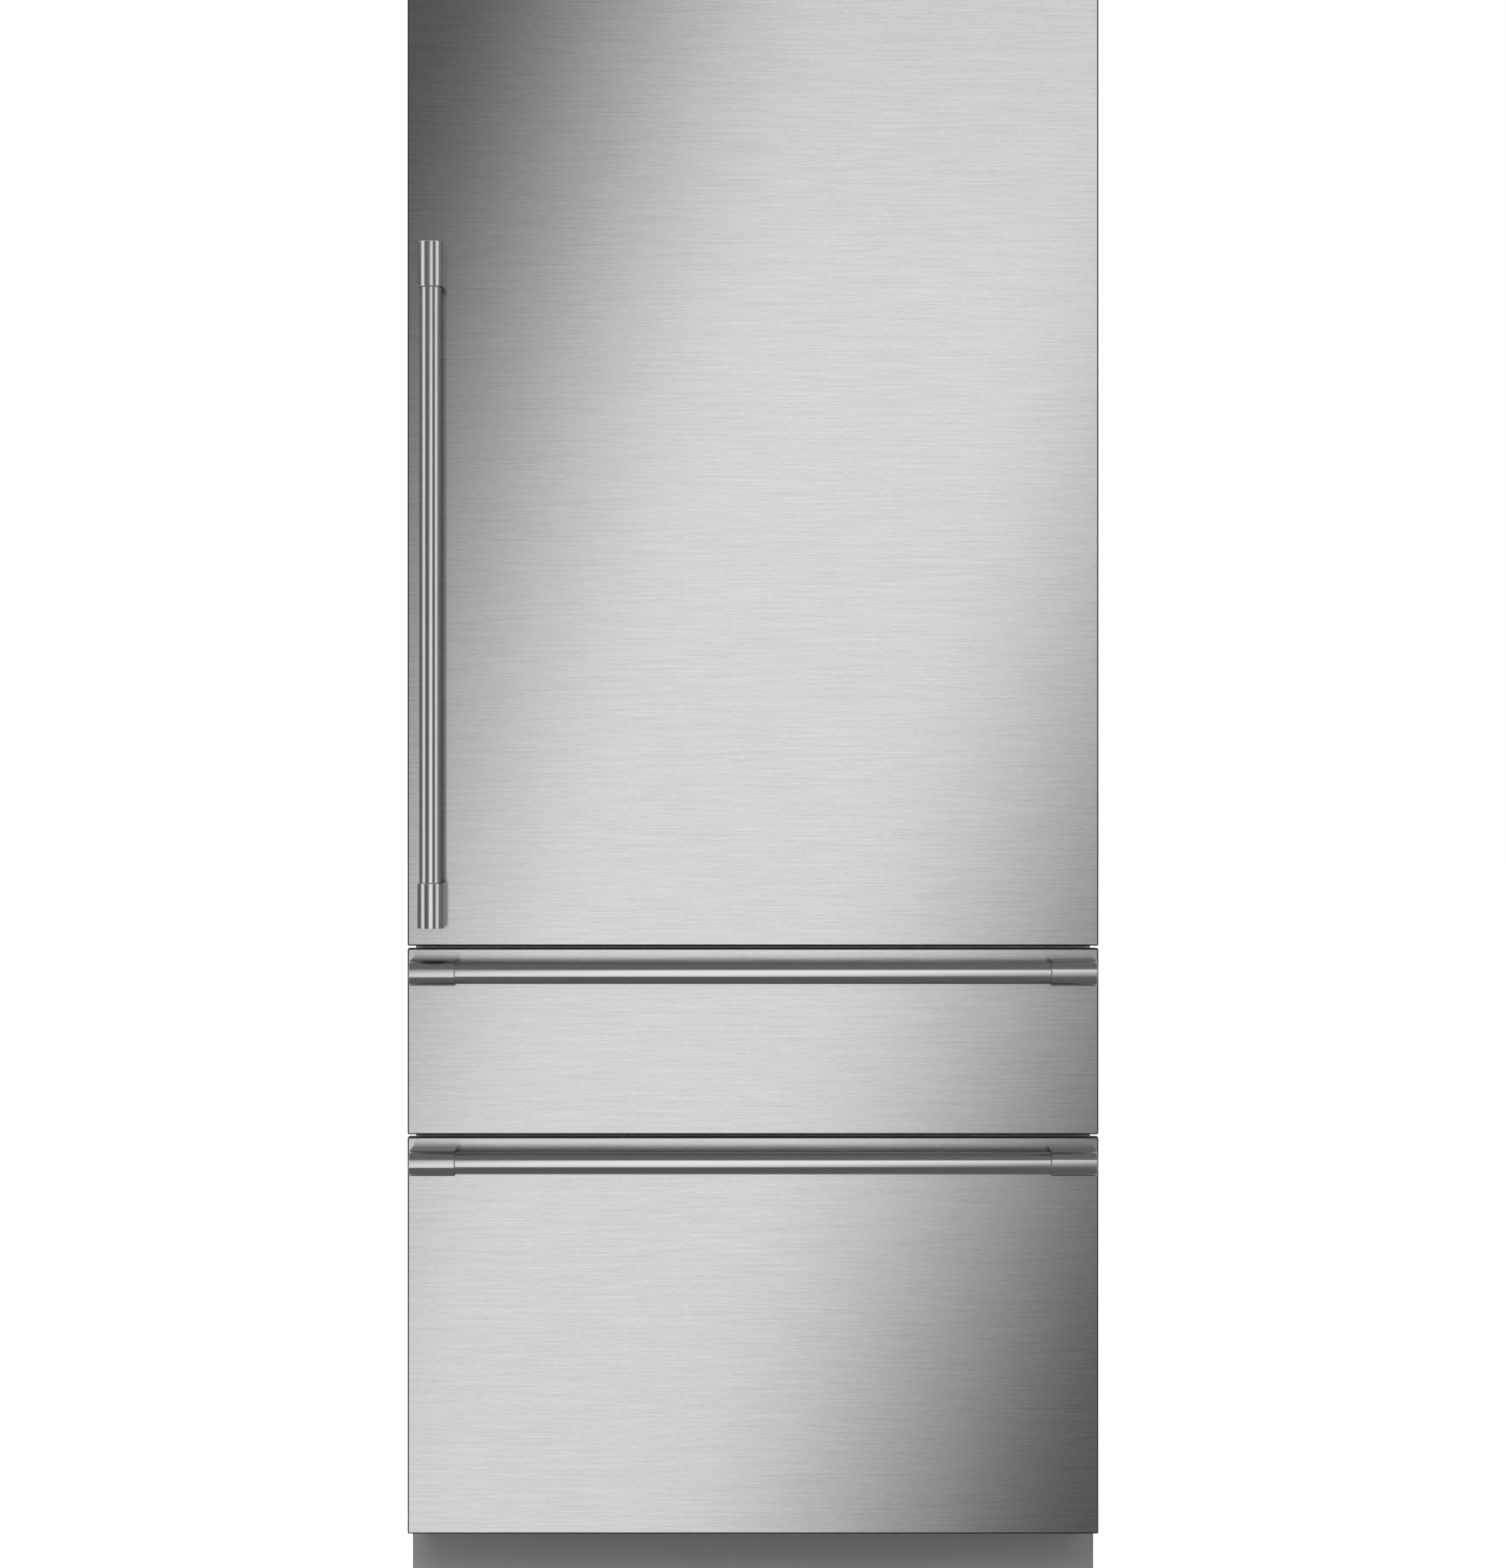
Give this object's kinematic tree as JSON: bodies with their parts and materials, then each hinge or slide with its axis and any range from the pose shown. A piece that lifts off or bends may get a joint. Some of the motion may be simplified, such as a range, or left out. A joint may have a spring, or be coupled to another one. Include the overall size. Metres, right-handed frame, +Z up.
{
  "type": "bottom freezer refrigerator",
  "caption": "Built-in refrigerator with a tall hinged door, a middle drawer and a bottom freezer drawer, in brushed steel with bar handles",
  "frame": {"origin": "on the floor, in the middle of the object's overall width and depth", "axes": "+Z up, -Y towards the front that the user faces, +X to the user's right, where the door is hinged"},
  "size_m": [0.908, 0.6726, 2.134],
  "materials": {
    "stainless": "satin",
    "stainless_bar": "satin",
    "painted_steel": "satin",
    "zinc_steel": "satin",
    "white_plastic": "satin",
    "clear_plastic": "gloss",
    "shelf_glass": "polished",
    "seal": "matte",
    "black_plastic": "matte",
    "fins": "satin",
    "foam": "matte",
    "lens": "satin",
    "compressor_paint": "satin"
  },
  "bodies": {
    "cabinet": {"case_wrapper": "painted_steel", "rear_panel": "zinc_steel", "bottom_panel": "zinc_steel", "front_frame": "painted_steel", "insulation_foam": "foam", "fresh_food_liner": "white_plastic", "middle_liner": "white_plastic", "freezer_liner": "white_plastic", "base_frame": "zinc_steel", "levelling_legs": "zinc_steel", "toe_kick": "painted_steel", "machine_cover": "zinc_steel", "power_inlet": "black_plastic", "condenser": "fins", "drain_pan": "black_plastic", "condenser_fan_housing": "black_plastic", "compressor": "compressor_paint", "evaporator": "fins", "evaporator_cover": "white_plastic", "air_tower": "white_plastic", "control_panel": "black_plastic", "light_bars": "lens", "shelf_supports": "stainless_bar", "shelf_glass": "shelf_glass", "crisper_frame": "white_plastic", "hinge_brackets": "zinc_steel", "hinge_pins": "zinc_steel", "slide_outers": "zinc_steel"},
    "rear_rollers": {"rear_rollers": "black_plastic"},
    "condenser_fan": {"condenser_fan": "black_plastic"},
    "evaporator_fan": {"evaporator_fan": "white_plastic"},
    "crisper_left": {"crisper_left": "clear_plastic"},
    "crisper_right": {"crisper_right": "clear_plastic"},
    "middle_slide_members": {"middle_slide_members": "zinc_steel"},
    "freezer_slide_members": {"freezer_slide_members": "zinc_steel"},
    "door": {"door_panel": "stainless", "door_shell": "painted_steel", "door_liner": "white_plastic", "door_gasket": "seal", "door_bushings": "black_plastic", "door_handle_bar": "stainless_bar", "door_handle_ends": "stainless_bar"},
    "lower_bin": {"lower_bin": "clear_plastic"},
    "middle_bin": {"middle_bin": "clear_plastic"},
    "upper_bin": {"upper_bin": "clear_plastic"},
    "middle_drawer": {"middle_panel": "stainless", "middle_front": "painted_steel", "middle_gasket": "seal", "middle_handle_bar": "stainless_bar", "middle_handle_ends": "stainless_bar", "middle_tub": "white_plastic", "middle_slide_runners": "zinc_steel"},
    "freezer_drawer": {"freezer_panel": "stainless", "freezer_front": "painted_steel", "freezer_gasket": "seal", "freezer_handle_bar": "stainless_bar", "freezer_handle_ends": "stainless_bar", "freezer_basket": "white_plastic", "freezer_slide_runners": "zinc_steel"},
    "freezer_tray": {"freezer_tray": "white_plastic"}
  },
  "joints": [
    {"name": "door_hinge", "type": "hinge", "parent": "cabinet", "child": "door", "pos_m": [0.432, -0.23797, 1.5], "axis": [0, 0, 1], "range_deg": [0, 110]},
    {"name": "middle_drawer_slide", "type": "slide", "parent": "cabinet", "child": "middle_drawer", "axis": [0, -1, 0], "range_m": [0, 0.43]},
    {"name": "middle_members_slide", "type": "slide", "parent": "cabinet", "child": "middle_slide_members", "axis": [0, -1, 0], "range_m": [0, 0.215]},
    {"name": "freezer_drawer_slide", "type": "slide", "parent": "cabinet", "child": "freezer_drawer", "axis": [0, -1, 0], "range_m": [0, 0.38]},
    {"name": "freezer_members_slide", "type": "slide", "parent": "cabinet", "child": "freezer_slide_members", "axis": [0, -1, 0], "range_m": [0, 0.19]},
    {"name": "freezer_tray_slide", "type": "slide", "parent": "cabinet", "child": "freezer_tray", "axis": [0, -1, 0], "range_m": [0, 0.228]},
    {"name": "crisper_left_slide", "type": "slide", "parent": "cabinet", "child": "crisper_left", "axis": [0, -1, 0], "range_m": [0, 0.2]},
    {"name": "crisper_right_slide", "type": "slide", "parent": "cabinet", "child": "crisper_right", "axis": [0, -1, 0], "range_m": [0, 0.2]},
    {"name": "lower_bin_lift", "type": "slide", "parent": "door", "child": "lower_bin", "axis": [0, 0, 1], "range_m": [0, 0.02]},
    {"name": "middle_bin_lift", "type": "slide", "parent": "door", "child": "middle_bin", "axis": [0, 0, 1], "range_m": [0, 0.02]},
    {"name": "upper_bin_lift", "type": "slide", "parent": "door", "child": "upper_bin", "axis": [0, 0, 1], "range_m": [0, 0.02]},
    {"name": "rear_rollers_spin", "type": "hinge", "parent": "cabinet", "child": "rear_rollers", "pos_m": [0, 0.27632, 0.02], "axis": [1, 0, 0], "continuous": true},
    {"name": "condenser_fan_spin", "type": "hinge", "parent": "cabinet", "child": "condenser_fan", "pos_m": [-0.11, 0.24183, 0.115], "axis": [1, 0, 0], "continuous": true},
    {"name": "evaporator_fan_spin", "type": "hinge", "parent": "cabinet", "child": "evaporator_fan", "pos_m": [0, 0.27, 0.5458], "axis": [0, 1, 0], "continuous": true}
  ],
  "couplings": [
    {"joint": "middle_members_slide", "follows": "middle_drawer_slide", "ratio": 0.5},
    {"joint": "freezer_members_slide", "follows": "freezer_drawer_slide", "ratio": 0.5},
    {"joint": "freezer_tray_slide", "follows": "freezer_drawer_slide", "ratio": 0.6},
    {"joint": "crisper_left_slide", "follows": "door_hinge", "m_per_rad": 0.104},
    {"joint": "crisper_right_slide", "follows": "door_hinge", "m_per_rad": 0.104}
  ]
}
